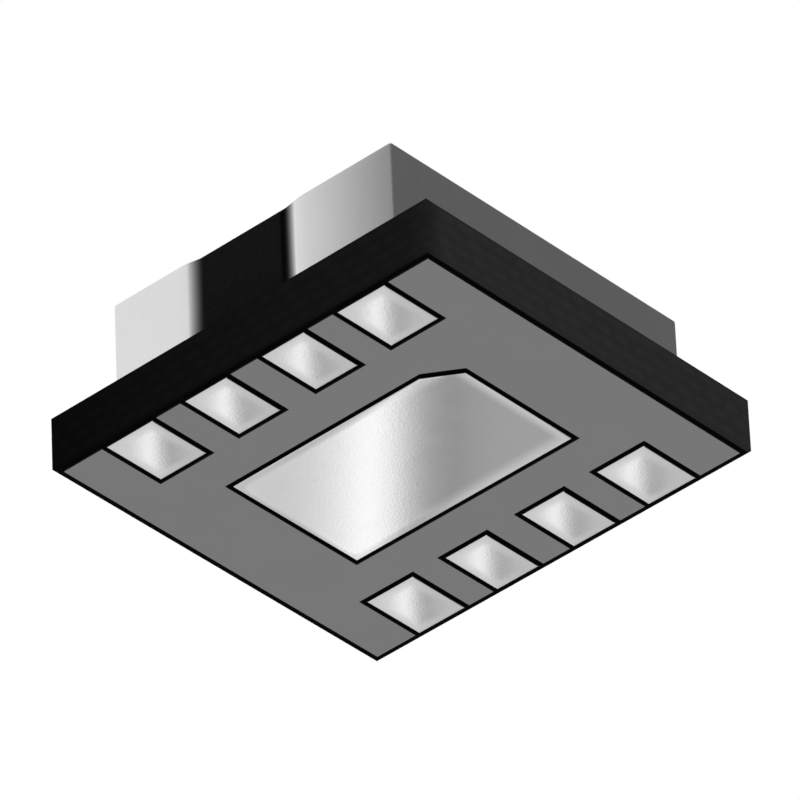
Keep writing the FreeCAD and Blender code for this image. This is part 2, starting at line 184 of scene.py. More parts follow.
class ContactSettings(bpy.types.PropertyGroup):
    """Sizes and tones of the contacts and the thermal pad."""

    edge_radius: a_length("Edge radius", "Rounding of the rim of each contact", 0.008 * MM)
    crown: a_length("Crown", "How far the middle of a contact stands proud of its rim", 0.0015 * MM)
    contact_bulge: a_number("Contact bulge", "Curvature that shades a contact, per mm", 0.72)
    thermal_bulge: a_number("Thermal bulge", "Curvature that shades the thermal pad, per mm", 0.281)
    riser_width: a_length("Riser width", "Width of the copper bar behind each contact", 0.08 * MM)
    riser_length: a_length("Riser length", "Length of the copper bar behind each contact", 0.26 * MM)
    cells: IntProperty(name="Cells", description="Vertices along each side of a contact", default=24, min=4)
    tone: a_tone("Contact tin", "plating on the contacts", 0.745)
    thermal_tone: a_tone("Thermal tin", "plating on the thermal pad", 0.84)
    # Painted shade: the sides of the contacts, the thermal pad and the lands are painted near black.
    shadowed: a_tone("Shadowed side", "etched sides of the contacts", 0.012)
    # Painted shade: how much one side of the thermal pad is darkened.
    shade_depth: a_factor("Shaded side", "How much the stained side of the thermal pad darkens", 0.4)
    roughness: a_factor("Roughness", "Roughness of the plating", 0.16)


class BoardSettings(bpy.types.PropertyGroup):
    """Tones of the board."""

    laminate: a_tone("Laminate", "faces of the laminate", 0.0015)
    # Painted light: the sides along X are a shaded copy of the sawn laminate, and the sides along Y a lit
    # copy.
    shaded_long_sides: a_tone("Long cut", "sawn sides along X", 0.0045)
    lit_cross_sides: a_tone("Cross cut", "sawn sides along Y", 0.033)
    # Painted light: width of the painted highlight on the long sides at +X, and of the painted shade on the
    # cross sides near -Y.
    corner_highlight: a_length("Corner smear", "Width of the resin smeared at the sawn corner", 0.17 * MM)
    # Painted shade: the band takes darker copies of the sides' painted light and shade.
    arris: a_length("Arris", "Width of the worn edge between the underside and two sides", 0.02 * MM)
    mask: a_tone("Solder mask", "mask", 0.17)
    # Painted shade: the colour of the mask's side walls.
    mask_shade: a_tone("Mask edge", "darkened edge of the mask", 0.006)
    yarn_pitch: a_length("Yarn pitch", "Spacing of the glass yarns at a sawn side", 0.16 * MM)
    plies: IntProperty(name="Plies", description="Layers of glass cloth in the laminate", default=4, min=1)


class InductorSettings(bpy.types.PropertyGroup):
    """Sizes and tones of the inductor and the solder that holds it."""

    core: a_tone("Core", "moulded powder core", 0.0054)
    grain: a_length("Grain", "Size of the powder grains", 0.03 * MM)
    terminal: a_tone("End cap", "end caps", 0.765)
    # Painted shade: the darker tone that the larger cap reaches at its end.
    shaded_terminal: a_tone("End cap at its end", "larger cap near its outer end", 0.4)
    # Painted highlight: the colour of a cap's rounded edges along its top and bottom.
    edge_highlight: a_tone("Highlit edge", "plating on the rubbed edges of a cap", 0.95)
    cap_edge: a_length("Cap edge", "Rounding along the edges of a cap", 0.022 * MM)
    cap_end: a_length("Cap end", "Rounding round the end face of a cap", 0.019 * MM)
    cap_crown: a_length("Cap crown", "Swell of a cap's end face", 0.004 * MM)
    feather: a_length("Feather", "Length over which a cap thins out to its mouth", 0.2 * MM)
    ripple: a_length("Ripple", "Waviness of a cap's mouth", 0.004 * MM)
    fade: a_length("Fade", "Width over which a cap fades into the core", 0.055 * MM)
    cap_swell: a_number("Cap swell", "Curvature that shades the larger cap, per mm", 0.3)
    solder: a_tone("Solder", "solder", 0.5)
    wetting: a_factor("Wetting", "How far solder climbs a cap, as a share of its limit", 0.62)
    solder_toe: a_length("Solder toe", "Height of the outer edge of a solder joint", 0.003 * MM)
    slackness: a_factor("Slackness", "How flat the hollow of the solder is", 0.5)
    slices: IntProperty(name="Slices", description="Slices along each solder joint", default=64, min=8)


class HiddenSettings(bpy.types.PropertyGroup):
    """Tones of what is sealed inside."""

    copper: a_tone("Copper", "inner copper", 0.72, 0.36, 0.2)
    silicon: a_tone("Silicon", "die", 0.12, 0.13, 0.15)
    attach: a_tone("Attach film", "film on the die", 0.55, 0.42, 0.2)
    carrier: a_tone("Carrier film", "film in the winding", 0.5, 0.45, 0.3)


class StageSettings(bpy.types.PropertyGroup):
    """Camera, light and floor."""

    azimuth: an_angle("Azimuth", "Bearing of the camera, from -Y towards +X", 41.24)
    elevation: an_angle("Elevation", "Height of the camera; below the floor it is negative", -36.26)
    roll: an_angle("Roll", "Turn of the camera about its line of sight", -2.58)
    distance: a_length("Distance", "From the camera to the point that it looks at", 68 * MM)
    aim: FloatVectorProperty(
        name="Aim", description="Point that the camera looks at", subtype="TRANSLATION", unit="LENGTH",
        default=(-0.0092 * MM, 0.0168 * MM, 0.4744 * MM),
    )
    lens: a_number("Lens", "Focal length in millimetres on a 36 mm sensor", 519.3)
    floor_radius: a_length("Floor radius", "Radius of the floor", 190 * MM)
    floor_drop: a_length("Floor drop", "Gap between the contacts and the floor", 0.002 * MM)
    floor: a_tone("Floor", "floor", 1.0)
    world_level: a_number("World", "Strength of the light from all round", 0.6)
    horizon_level: a_number("Horizon", "Level of the background at the horizon", 0.925)
    lamp_level: a_number("Lamps", "Strength of each soft lamp", 1.3)
    lamp_spread: an_angle("Lamp spread", "Apparent width of each soft lamp", 35)


class Wire:
    """A socket of a node tree that can stand in a Python expression."""

    def __init__(self, sheet, socket):
        self.sheet = sheet
        self.socket = socket

    def math(self, operation, *others):
        """A Math node that starts with this wire."""
        return self.sheet.math(operation, self, *others)

    def __add__(self, other):
        return self.math("ADD", other)

    __radd__ = __add__

    def __mul__(self, other):
        return self.math("MULTIPLY", other)

    __rmul__ = __mul__

    def __sub__(self, other):
        return self.math("SUBTRACT", other)

    def __rsub__(self, other):
        return self.sheet.math("SUBTRACT", other, self)

    def __truediv__(self, other):
        return self.math("DIVIDE", other)

    def __rtruediv__(self, other):
        return self.sheet.math("DIVIDE", other, self)

    def __neg__(self):
        return self * -1

    def __abs__(self):
        return self.math("ABSOLUTE")

    def centred(self):
        """Place between two whole numbers, from -0.5 to 0.5."""
        return self - self.math("FLOOR") - 0.5

    def most(self, other):
        """The larger of two values."""
        return self.math("MAXIMUM", other)

    def above(self, limit):
        """1 where the value is over a limit, otherwise 0."""
        return self.math("GREATER_THAN", limit)

    def rise(self, start, end, kind="SMOOTHSTEP"):
        """0 before start, 1 after end, smooth between them."""
        inputs = {"Value": self, "From Min": start, "From Max": end}
        return self.sheet.node("ShaderNodeMapRange", inputs, interpolation_type=kind)


class NodeSheet:
    """Fills one node tree."""

    def __init__(self, tree):
        self.tree = tree
        tree.nodes.clear()

    def node(self, kind, inputs=None, output=0, **settings):
        """Adds a node: its settings first, then the values or wires of its sockets."""
        added = self.tree.nodes.new(kind)
        for name, setting in settings.items():
            if name == "stops":
                self.set_stops(added.color_ramp.elements, setting)
            else:
                setattr(added, name, setting)
        for name, value in (inputs or {}).items():
            self.feed(added.inputs[name], value)
        return Wire(self, added.outputs[output]) if added.outputs else None

    @staticmethod
    def set_stops(elements, stops):
        """Greys of a ramp from pairs of place and grey."""
        while len(elements) < len(stops):
            elements.new(1.0)
        for element, (place, grey) in zip(elements, stops):
            element.position = place
            element.color = (grey, grey, grey, 1.0)

    def feed(self, socket, value):
        """Links a wire to a socket, or sets the socket's own value."""
        if isinstance(value, Wire):
            self.tree.links.new(value.socket, socket)
        elif isinstance(value, (int, float)):
            socket.default_value = value
        else:
            numbers = list(value)
            socket.default_value = numbers + [1.0] * (len(socket.default_value) - len(numbers))

    def math(self, operation, *values):
        """A Math node."""
        return self.node("ShaderNodeMath", dict(enumerate(values)), operation=operation)

    def vector(self, x=0.0, y=0.0, z=0.0):
        """A vector from its three parts."""
        return self.node("ShaderNodeCombineXYZ", {0: x, 1: y, 2: z})

    def parts(self, vector):
        """The three parts of a vector."""
        first = self.node("ShaderNodeSeparateXYZ", {0: vector})
        return [Wire(self, output) for output in first.socket.node.outputs]

    def joined(self, geometries):
        """Several geometries as one."""
        join = self.node("GeometryNodeJoinGeometry")
        for geometry in geometries:
            self.feed(join.socket.node.inputs[0], geometry)
        return join


class Finish(NodeSheet):
    """A material with a principled surface, and the surface point in millimetres to paint it by."""

    def __init__(self, name, gloss=0.5, metal=0.0):
        self.material = bpy.data.materials.new(name)
        self.material.use_nodes = True
        super().__init__(self.material.node_tree)
        constants = {"Specular IOR Level": gloss, "Metallic": metal}
        surface = self.node("ShaderNodeBsdfPrincipled", constants)
        self.node("ShaderNodeOutputMaterial", {0: surface})
        self.sockets = surface.socket.node.inputs
        place = self.node("ShaderNodeTexCoord", output="Object")
        self.point = self.node("ShaderNodeVectorMath", {0: place, "Scale": PER_MM}, operation="SCALE")
        self.x, self.y, self.z = self.parts(self.point)

    def dress(self, tone, roughness, height, metallic=None):
        """Feeds the surface its colour, roughness and relief in mm, and returns the finished material."""
        relief = self.node("ShaderNodeBump", {"Strength": 1.0, "Distance": MM, "Height": height})
        self.feed(self.sockets["Base Color"], tone)
        self.feed(self.sockets["Roughness"], roughness)
        self.feed(self.sockets["Normal"], relief)
        if metallic:
            self.feed(self.sockets["Metallic"], metallic)
        return self.material

    def facing(self):
        """How far the surface faces along each axis, without sign."""
        return [abs(part) for part in self.parts(self.node("ShaderNodeTexCoord", output="Normal"))]

    def noise(self, per_mm, detail=4, vector=None):
        """Soft noise from 0 to 1."""
        inputs = {"Vector": vector or self.point, "Scale": per_mm, "Detail": detail}
        return self.node("ShaderNodeTexNoise", inputs)

    def cells(self, per_mm):
        """Distance to the nearest of scattered points."""
        return self.node("ShaderNodeTexVoronoi", {"Vector": self.point, "Scale": per_mm})

    def stretched(self, x, y, z):
        """The surface point with each part scaled by its own number."""
        return self.node("ShaderNodeVectorMath", {0: self.point, 1: (x, y, z)}, operation="MULTIPLY")

    def blend(self, factor, first, second, **settings):
        """A colour between two, by a factor."""
        inputs = {0: factor, MIX_FIRST: first, MIX_SECOND: second}
        return self.node("ShaderNodeMix", inputs, MIX_RESULT, data_type="RGBA", **settings)

    def shade(self, colour, amount):
        """A colour times a grey amount."""
        return self.blend(1.0, colour, amount, blend_type="MULTIPLY")


def paint(material, *nodes):
    """Gives solids of the frame their finish."""
    for node in nodes:
        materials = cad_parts[node].data.materials
        materials.clear()
        materials.append(material)


def rolled(x, y):
    """How far a level place or direction lies along the rolled direction."""
    return x * ROLLED.x + y * ROLLED.y


def swell(run, curvature):
    """Height of a face that is curved one way, at a distance from its crest."""
    return run * run * (-curvature / 2)


def clear_of_rim(x, y, half_x, half_y, border_x, border_y):
    """0 at the rim of an oblong face and 1 inside its border."""
    return (half_x - abs(x)).rise(0.0, border_x) * (half_y - abs(y)).rise(0.0, border_y)


def yarn_ends(sheet, facing, settings):
    """1 in the middle of each yarn end of a sawn side, and 0 between the yarns."""
    ply = extent("laminate").z * PER_MM / settings.plies
    level = (sheet.z - low("laminate").z * PER_MM) / ply
    along = (sheet.x * facing[1] + sheet.y * facing[0]) / (settings.yarn_pitch * PER_MM)
    across = (along + level.math("FLOOR") * PLY_SHIFT).centred() * 2
    height = level.centred() * 2
    return 1 - (across * across + height * height * YARN_SQUEEZE).rise(*YARN_EDGE)


def sawn_shading(sheet, is_cross, settings, long_share=1.0, cross_share=1.0):
    """Colour of the sawn sides, painted with light and shade: the long ones a shaded copy lightening along X
    to a painted highlight, the cross ones a lit copy shaded near -Y.
    """
    lowest, highest = box_in_mm("laminate")
    highlight = settings.corner_highlight * PER_MM
    # Painted light rising along X to a painted highlight at +X, and painted shade on the cross sides near -Y.
    highlighted = sheet.x.rise(highest.x - highlight, highest.x)
    long_shading = 0.35 + sheet.x.rise(lowest.x, highest.x, "LINEAR") * 1.25 + highlighted * 0.75
    cross_shading = 0.62 + sheet.y.rise(lowest.y, lowest.y + highlight) * 0.38
    long_tone = sheet.shade(settings.shaded_long_sides, long_shading * long_share)
    cross_tone = sheet.shade(settings.lit_cross_sides, cross_shading * cross_share)
    return sheet.blend(is_cross, long_tone, cross_tone)


def laminate_finish(settings):
    """Black glass laminate: resin-rich faces, and sawn sides where the yarn ends show faintly, painted with
    light and shade that runs on to the underside's edge along two sides.
    """
    sheet = Finish("black_laminate", gloss=0.008)
    lowest, highest = box_in_mm("laminate")
    facing = sheet.facing()
    sawn = 1 - facing[2].rise(*TURNED)
    yarn = yarn_ends(sheet, facing, settings)
    sides = sawn_shading(sheet, facing[0].rise(*TURNED), settings)
    # Painted shade: a band of the underside along +X and -Y is painted in darker copies of the sides' painted
    # tones.
    arris = settings.arris * PER_MM
    east = sheet.x.rise(highest.x - arris * 1.15, highest.x - arris * 0.85)
    south = 1 - sheet.y.rise(lowest.y + arris * 0.7, lowest.y + arris)
    beneath = (1 - sheet.z.above(lowest.z + NEAR * PER_MM)) * east.most(south)
    shaded = sawn_shading(sheet, east, settings, long_share=0.82, cross_share=0.62)
    faces = sheet.blend(beneath, settings.laminate, shaded)
    cloud = sheet.noise(9)
    marks = sheet.noise(1, detail=3, vector=sheet.stretched(3, 3, 160))
    grain = sheet.noise(140, detail=2)
    tone = sheet.shade(sheet.blend(sawn, faces, sides), 0.8 + yarn * sawn * 0.12 + cloud * 0.3)
    roughness = 0.52 + cloud * 0.16 + sawn * 0.1 - yarn * sawn * 0.08
    return sheet.dress(tone, roughness, sawn * (marks * 0.001 + yarn * 0.0005) + grain * 0.0006)


def mask_finish(settings):
    """Grey solder mask, satin, with the faint orange peel of a cured film, and painted shade on its side
    walls.
    """
    sheet = Finish("grey_mask", gloss=0.3)
    cloud = sheet.noise(2.2, detail=5)
    speck = sheet.noise(70, detail=2)
    peel = sheet.noise(26, detail=2)
    is_face = sheet.facing()[2].rise(0.3, 0.8)
    tone = sheet.shade(settings.mask, 0.93 + cloud * 0.1 + speck * 0.04)
    # Painted shade: the side walls of the mask are painted near black.
    tone = sheet.blend(is_face, settings.mask_shade, tone)
    return sheet.dress(tone, 0.5 + cloud * 0.1, peel * 0.0016 + speck * 0.0004)


def tin(sheet, tone, settings, form=0.0, shadowed=(0.2, 0.75), dulled=0.0):
    """Satin tin plating with fine grain on a broader form, and rough sides painted dark as shade.

    The pair of cosines gives where a side, painted dark as shade, turns into the face.
    """
    grain = sheet.cells(60)
    cloud = sheet.noise(5)
    fine = sheet.noise(120, detail=2)
    is_face = sheet.facing()[2].rise(*shadowed)
    tone = sheet.shade(tone, 0.96 + cloud * 0.06 - grain * 0.03)
    # Painted shade: the sides are painted near black.
    tone = sheet.blend(is_face, settings.shadowed, tone)
    roughness = settings.roughness + cloud * 0.06 + fine * 0.05 + (1 - is_face) * 0.3 + dulled
    return sheet.dress(tone, roughness, grain * 0.0002 + fine * 0.00015 + form)


def contact_finish(settings):
    """Tin on the small contacts, each curved about its own middle, with a duller border."""
    sheet = Finish("tin_contact", metal=1.0)
    pitch = (middle("pad_1").x - middle("pad_2").x) * PER_MM
    column = (sheet.x / pitch).centred() * pitch
    offset = sheet.y - sheet.y.math("SIGN") * (middle("pad_8").y * PER_MM)
    inner, outer = extent("pad_2") * PER_MM / 2, extent("pad_1") * PER_MM / 2
    half_width = inner.x + abs(sheet.x).above(pitch) * (outer.x - inner.x)
    border = 0.09
    dulled = (1 - clear_of_rim(column, offset, half_width, inner.y, border, border)) * 0.22
    form = swell(rolled(column, offset), settings.contact_bulge)
    return tin(sheet, settings.tone, settings, form, shadowed=(0.84, 0.975), dulled=dulled)


def thermal_finish(settings):
    """Tin on the thermal pad, with painted shade on one side and along the rim of the other."""
    sheet = Finish("tin_thermal", metal=1.0)
    run = rolled(sheet.x, sheet.y)
    half = extent("thermal_pad") * PER_MM / 2
    border_x, border_y = 0.08, 0.13
    clear = clear_of_rim(sheet.x, sheet.y, half.x, half.y, border_x, border_y)
    # Painted shade: one side of the pad is darkened, and so is the rim of the other side.
    dimmed = run.rise(-0.1, 0.35)
    painted_shade = dimmed * (0.15 + clear * 0.85)
    painted = (1 - dimmed) * (1 - clear.rise(0.0, 0.5)) * 0.2
    tone = sheet.shade(settings.thermal_tone, 1 - painted_shade * settings.shade_depth - painted)
    return tin(sheet, tone, settings, swell(run, settings.thermal_bulge))


def land_finish(settings):
    """Tin on the lands under the inductor."""
    return tin(Finish("tin_land", metal=1.0), settings.tone, settings)


def cap_cover(x, settings):
    """1 on the end caps and 0 on the core, with the soft edge of the plating."""
    fade = settings.fade * PER_MM
    mouth = low("switch_terminal").x * PER_MM
    right = x.rise(mouth - fade * SWITCH_FADE[0], mouth + fade * SWITCH_FADE[1], "LINEAR")
    mouth = high("output_terminal").x * PER_MM
    left = 1 - x.rise(mouth - fade * OUTPUT_FADE[0], mouth + fade * OUTPUT_FADE[1], "LINEAR")
    return (right + left).math("POWER", FADE_POWER)


def core_finish(settings):
    """Black moulded powder that fades into the caps, with a painted shadow beside the larger one."""
    sheet = Finish("moulded_core", gloss=0.012)
    cover = cap_cover(sheet.x, settings)
    grain = sheet.cells(MM / settings.grain)
    fine = sheet.noise(90, detail=3)
    cloud = sheet.noise(6)
    fade = settings.fade * PER_MM
    # Painted shadow: a narrow dark band on the core just beside the larger cap's mouth.
    aside = (sheet.x - (low("switch_terminal").x * PER_MM - fade * 1.45)) / (fade * 0.36)
    painted_shadow = (aside * aside * -1).math("EXPONENT")
    tone = sheet.shade(settings.core, (0.75 + cloud * 0.4 + grain * 0.25) * (1 - painted_shadow * 0.97))
    tone = sheet.blend(cover, tone, settings.terminal)
    roughness = 0.62 + cloud * 0.12 - cover * 0.25
    return sheet.dress(tone, roughness, grain * 0.004 + fine * 0.002, metallic=cover)


def terminal_finish(settings):
    """Tin end caps that fade into the core at their mouths, with painted shade darkening the larger cap
    towards its end and a painted highlight on the edges along their tops and bottoms.
    """
    sheet = Finish("tin_end_cap", gloss=0.012)
    x = sheet.x
    cover = cap_cover(x, settings)
    start = (low("switch_terminal").x + settings.fade) * PER_MM
    end = high("switch_terminal").x * PER_MM
    cloud = sheet.noise(4)
    fine = sheet.noise(75, detail=3)
    draw = sheet.noise(1, detail=2, vector=sheet.stretched(30, 30, 3))
    # Painted shade: the larger cap darkens from its mouth to its end, and a little more just past the mouth.
    metal = sheet.blend(x.rise(start, end, "LINEAR"), settings.terminal, settings.shaded_terminal)
    painted_shade = x.rise(start - 0.03, start - 0.01) * 0.06 + x.rise(start, start + 0.08) * 0.03
    metal = sheet.shade(metal, (0.93 + cloud * 0.08 + draw * 0.04) * (1 - painted_shade))
    facing_x, facing_y, facing_z = sheet.facing()
    # Painted highlight: the rounded edges next to a cap's top and bottom faces are painted brighter.
    is_flat = facing_x.most(facing_y).most(facing_z).rise(0.76, 0.97)
    edge = (1 - is_flat) * facing_z.rise(0.2, 0.5)
    metal = sheet.blend(edge * (0.35 + cloud * 0.6), metal, settings.edge_highlight)
    tone = sheet.blend(cover, settings.core, metal)
    roughness = 0.3 + cloud * 0.08 + fine * 0.08 + (1 - cover) * 0.3
    form = swell((x - start).most(0.0), settings.cap_swell)
    return sheet.dress(tone, roughness, fine * 0.0012 + draw * 0.0006 + form, metallic=cover)


def solder_finish(settings):
    """Reflowed solder with a fine crystalline skin, and painted shade that darkens it towards the top of the
    fillet.
    """
    sheet = Finish("reflowed_solder", metal=1.0)
    crystal = sheet.cells(24)
    cloud = sheet.noise(7)
    lowest, highest = box_in_mm("switch_solder_joint")
    shaded_height = sheet.z.rise(lowest.z, highest.z, "LINEAR")
    # Painted shade: the solder is painted darker towards the top of the fillet.
    tone = sheet.shade(settings.solder, (0.86 + crystal * 0.12 + cloud * 0.08) * (1.2 - shaded_height * 1.2))
    return sheet.dress(tone, 0.22 + cloud * 0.12 + crystal * 0.06, crystal * 0.0003 + cloud * 0.0016)


def copper_finish(settings):
    """Plated copper with a matte grain."""
    sheet = Finish("plated_copper", metal=1.0)
    cloud = sheet.noise(8)
    tone = sheet.shade(settings.copper, 0.85 + cloud * 0.2)
    return sheet.dress(tone, 0.3 + cloud * 0.15, sheet.cells(60) * 0.0008)


def silicon_finish(settings):
    """Ground silicon with the fine arcs of the grinding wheel."""
    sheet = Finish("ground_silicon", metal=0.6)
    across, along = sheet.x - WHEEL[0], sheet.y - WHEEL[1]
    arcs = ((across * across + along * along).math("SQRT") * WHEEL_ARCS).math("SINE")
    cloud = sheet.noise(5, detail=3)
    tone = sheet.shade(settings.silicon, 0.9 + cloud * 0.15)
    return sheet.dress(tone, 0.22 + cloud * 0.08, arcs * 0.0002)


def film_finish(name, colour):
    """Thin cured film with a soft mottling."""
    sheet = Finish(name, gloss=0.4)
    cloud = sheet.noise(7)
    return sheet.dress(sheet.shade(colour, 0.85 + cloud * 0.25), 0.4 + cloud * 0.2, cloud * 0.002)


def add_object(name, data):
    """A new object in the scene."""
    thing = bpy.data.objects.new(name, data)
    bpy.context.scene.collection.objects.link(thing)
    return thing


def add_piece(mesh, crease, material, slot, *replaced):
    """Puts a mesh in the scene in place of solids of the frame, smooth up to its crease angle."""
    mesh.shade_smooth()
    mesh.set_sharp_from_angle(angle=math.radians(crease))
    mesh.materials.clear()
    mesh.materials.append(material)
    piece = add_object(mesh.name, mesh)
    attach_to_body(piece, BODY)
    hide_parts(*replaced)


def mesh_from(name, shape):
    """A mesh from a bmesh, welded, with its faces outwards."""
    bmesh.ops.remove_doubles(shape, verts=shape.verts, dist=WELD)
    bmesh.ops.recalc_face_normals(shape, faces=shape.faces)
    mesh = bpy.data.meshes.new(name)
    shape.to_mesh(mesh)
    shape.free()
    return mesh


def plate_nodes(sheet, width, given):
    """Nodes for one contact about the origin: crowned face down, rounded rim, flat back, riser on it."""
    length, thickness, radius = given["Length"], given["Thickness"], given["Edge radius"]
    block = sheet.node("GeometryNodeMeshCube", {
        "Size": sheet.vector(width, length, thickness),
        "Vertices X": given["Cells"], "Vertices Y": given["Cells"], "Vertices Z": 3,
    })
    x, y, z = sheet.parts(sheet.node("GeometryNodeInputPosition"))
    half_x, half_y = width / 2, length / 2
    # The sine crowds the vertices towards the rim, where the plate is rounded.
    across = (x / half_x * (math.pi / 2)).math("SINE")
    along = (y / half_y * (math.pi / 2)).math("SINE")
    border = ((1 - abs(across)) * half_x).math("MINIMUM", (1 - abs(along)) * half_y)
    inside = (radius - border).most(0.0)
    rim = radius - (radius * radius - inside * inside).most(0.0).math("SQRT")
    crown = given["Crown"] * (1 - (1 - across * across) * (1 - along * along))
    # Of the block's three layers of vertices, the face is the one half a thickness below the middle.
    is_face = 1 - (z / thickness).above(-0.25)
    height = z + thickness / 2 + is_face * (rim + crown)
    moved = sheet.vector(across * half_x, along * half_y, height)
    plate = sheet.node("GeometryNodeSetPosition", {"Geometry": block, "Position": moved})
    riser_size = sheet.vector(given["Riser width"], given["Riser length"], given["Riser height"])
    riser = sheet.node("GeometryNodeTransform", {
        "Geometry": sheet.node("GeometryNodeMeshCube", {"Size": riser_size}),
        "Translation": sheet.vector(z=thickness + given["Riser height"] / 2),
    })
    return sheet.joined((riser, plate))


def contact_tree(values):
    """Geometry tree that sets two rows of contacts, the outer ones wider than the inner ones."""
    tree = bpy.data.node_groups.new("contact_rows", "GeometryNodeTree")
    tree.interface.new_socket("Geometry", in_out="OUTPUT", socket_type="NodeSocketGeometry")
    kinds = {"Cells": "NodeSocketInt", "Material": "NodeSocketMaterial"}
    for name in values:
        kind = kinds.get(name, "NodeSocketFloat")
        tree.interface.new_socket(name, in_out="INPUT", socket_type=kind)
    sheet = NodeSheet(tree)
    given = {name: sheet.node("NodeGroupInput", output=name) for name in values}
    number = sheet.node("GeometryNodeInputIndex")
    at_end = abs(number - (PADS_PER_ROW - 1) / 2).above(PADS_PER_ROW / 2 - 1)
    plates = [
        (plate_nodes(sheet, given["Inner width"], given), 1 - at_end),
        (plate_nodes(sheet, given["Outer width"], given), at_end),
    ]
    step = sheet.vector(given["Pitch"])
    rows = []
    for side in (-1, 1):
        start = sheet.vector(given["Pitch"] * ((1 - PADS_PER_ROW) / 2), given["Row offset"] * side)
        places = {"Count": PADS_PER_ROW, "Start Location": start, "Offset": step}
        line = sheet.node("GeometryNodeMeshLine", places)
        for plate, chosen in plates:
            inputs = {"Points": line, "Instance": plate, "Selection": chosen}
            rows.append(sheet.node("GeometryNodeInstanceOnPoints", inputs))
    real = sheet.node("GeometryNodeRealizeInstances", {"Geometry": sheet.joined(rows)})
    dressed = sheet.node("GeometryNodeSetMaterial", {"Geometry": real, "Material": given["Material"]})
    sheet.node("NodeGroupOutput", {0: dressed})
    return tree


def grown(name, tree, values):
    """Runs a geometry tree on an empty mesh and returns the result as a plain mesh."""
    seed = add_object(name, bpy.data.meshes.new(name))
    modifier = seed.modifiers.new(name, "NODES")
    modifier.node_group = tree
    for item in tree.interface.items_tree:
        if item.name in values:
            modifier[item.identifier] = values[item.name]
    graph = bpy.context.evaluated_depsgraph_get()
    mesh = bpy.data.meshes.new_from_object(seed.evaluated_get(graph))
    empty = seed.data
    bpy.data.objects.remove(seed)
    bpy.data.meshes.remove(empty)
    mesh.name = name
    if not mesh.polygons:
        raise RuntimeError(f"{name} came out empty")
    return mesh


def quarter_turn(steps):
    """Angles from 0 to a quarter turn in equal steps."""
    return [step / steps * math.pi / 2 for step in range(steps + 1)]


def skin(shape, loops):
    """Faces between each loop of points and the next, closed at both ends."""
    for first, second in zip(loops, loops[1:]):
        for index in range(len(first)):
            following = (index + 1) % len(first)
            shape.faces.new((first[index], first[following], second[following], second[index]))
    shape.faces.new(loops[0])
    shape.faces.new(loops[-1])


def inset(outline, distance):
    """A convex outline moved inwards by a distance."""
    moved = []
    for index, corner in enumerate(outline):
        before, after = outline[index - 1], outline[(index + 1) % len(outline)]
        first, second = (corner - before).normalized(), (after - corner).normalized()
        normal_a, normal_b = Vector((-first.y, first.x)), Vector((-second.y, second.x))
        moved.append(corner + (normal_a + normal_b) * (distance / (1 + normal_a.dot(normal_b))))
    return moved


def corners_at(node, height):
    """Corners of a solid at one height, as pairs of x and y."""
    places = [vertex.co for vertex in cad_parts[node].data.vertices if abs(vertex.co.z - height) < NEAR]
    return sorted({(round(place.x, CORNER_DIGITS), round(place.y, CORNER_DIGITS)) for place in places})


def thermal_outline():
    """Corners of the thermal pad, read from the solid's lowest face, anticlockwise from above."""
    corners = corners_at("thermal_pad", low("thermal_pad").z)
    return [Vector(corner) for corner in sorted(corners, key=lambda corner: math.atan2(corner[1], corner[0]))]


def add_risers(shape):
    """Adds the copper bars that stand on the thermal pad, where the solid has them."""
    top = high("thermal_pad").z
    corners = corners_at("thermal_pad", top)
    sides = sorted({x for x, y in corners})
    reach = max(y for x, y in corners)
    for west, east in zip(sides[::2], sides[1::2]):
        size = Matrix.Diagonal((east - west, 2 * reach, top - PLATE, 1))
        place = Matrix.Translation(((west + east) / 2, 0, (top + PLATE) / 2))
        bmesh.ops.create_cube(shape, size=1.0, matrix=place @ size)


def thermal_mesh(settings):
    """Thermal pad with a rounded rim, a crowned face and copper bars on its back."""
    outline = thermal_outline()
    radius, crown = settings.edge_radius, settings.crown
    rings = [(outline, PLATE), (outline, (PLATE + radius + crown) / 2)]
    for turn in quarter_turn(RIM_STEPS):
        rings.append((inset(outline, radius * (1 - math.cos(turn))), radius * (1 - math.sin(turn)) + crown))
    face = rings[-1][0]
    for share in THERMAL_RINGS:
        rings.append(([corner * (1 - share) for corner in face], crown * (1 - share) ** 2))
    shape = bmesh.new()
    skin(shape, [[shape.verts.new((*corner, height)) for corner in ring] for ring, height in rings])
    add_risers(shape)
    return mesh_from("thermal_plate", shape)


def dropped(share, power):
    """1 in the middle of a length and 0 at both ends, with a rounded drop."""
    return math.sqrt(max(1 - abs(share) ** power, 0.0))


def solder_profile(share, settings):
    """Section of the larger joint at a share of its half length from the middle, as pairs of x and z."""
    lowest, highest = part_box("switch_solder_joint")
    end, foot = high("switch_terminal").x, low("switch_terminal").z
    bend = settings.cap_end
    arch, plan = dropped(share, ARCH_POWER), dropped(share, PLAN_POWER)
    roll = bend * (END_ROLL + (1 - END_ROLL) * arch)
    wall, brink = end - bend + roll, foot + roll
    crest = brink + (highest.z - foot - bend) * settings.wetting * (END_CREST + (1 - END_CREST) * arch)
    reach = (highest.x - end) * (END_REACH + REACH_GAIN * plan)
    skirt = lowest.z + settings.solder_toe * (END_TOE + (1 - END_TOE) * plan)
    profile = [(lowest.x, lowest.z), (lowest.x, foot), (end - bend, foot)]
    for turn in quarter_turn(ROLL_STEPS)[1:]:
        profile.append((end - bend + roll * math.sin(turn), foot + roll - roll * math.cos(turn)))
    for turn in quarter_turn(HOLLOW_STEPS):
        out, up = 1 - math.cos(turn), 1 - math.sin(turn)
        straight = (out + 1 - up) / 2
        out += (straight - out) * settings.slackness
        up += (1 - straight - up) * settings.slackness
        profile.append((wall + reach * out, skirt + (crest - skirt) * up))
    profile.append((wall + reach, lowest.z))
    return profile


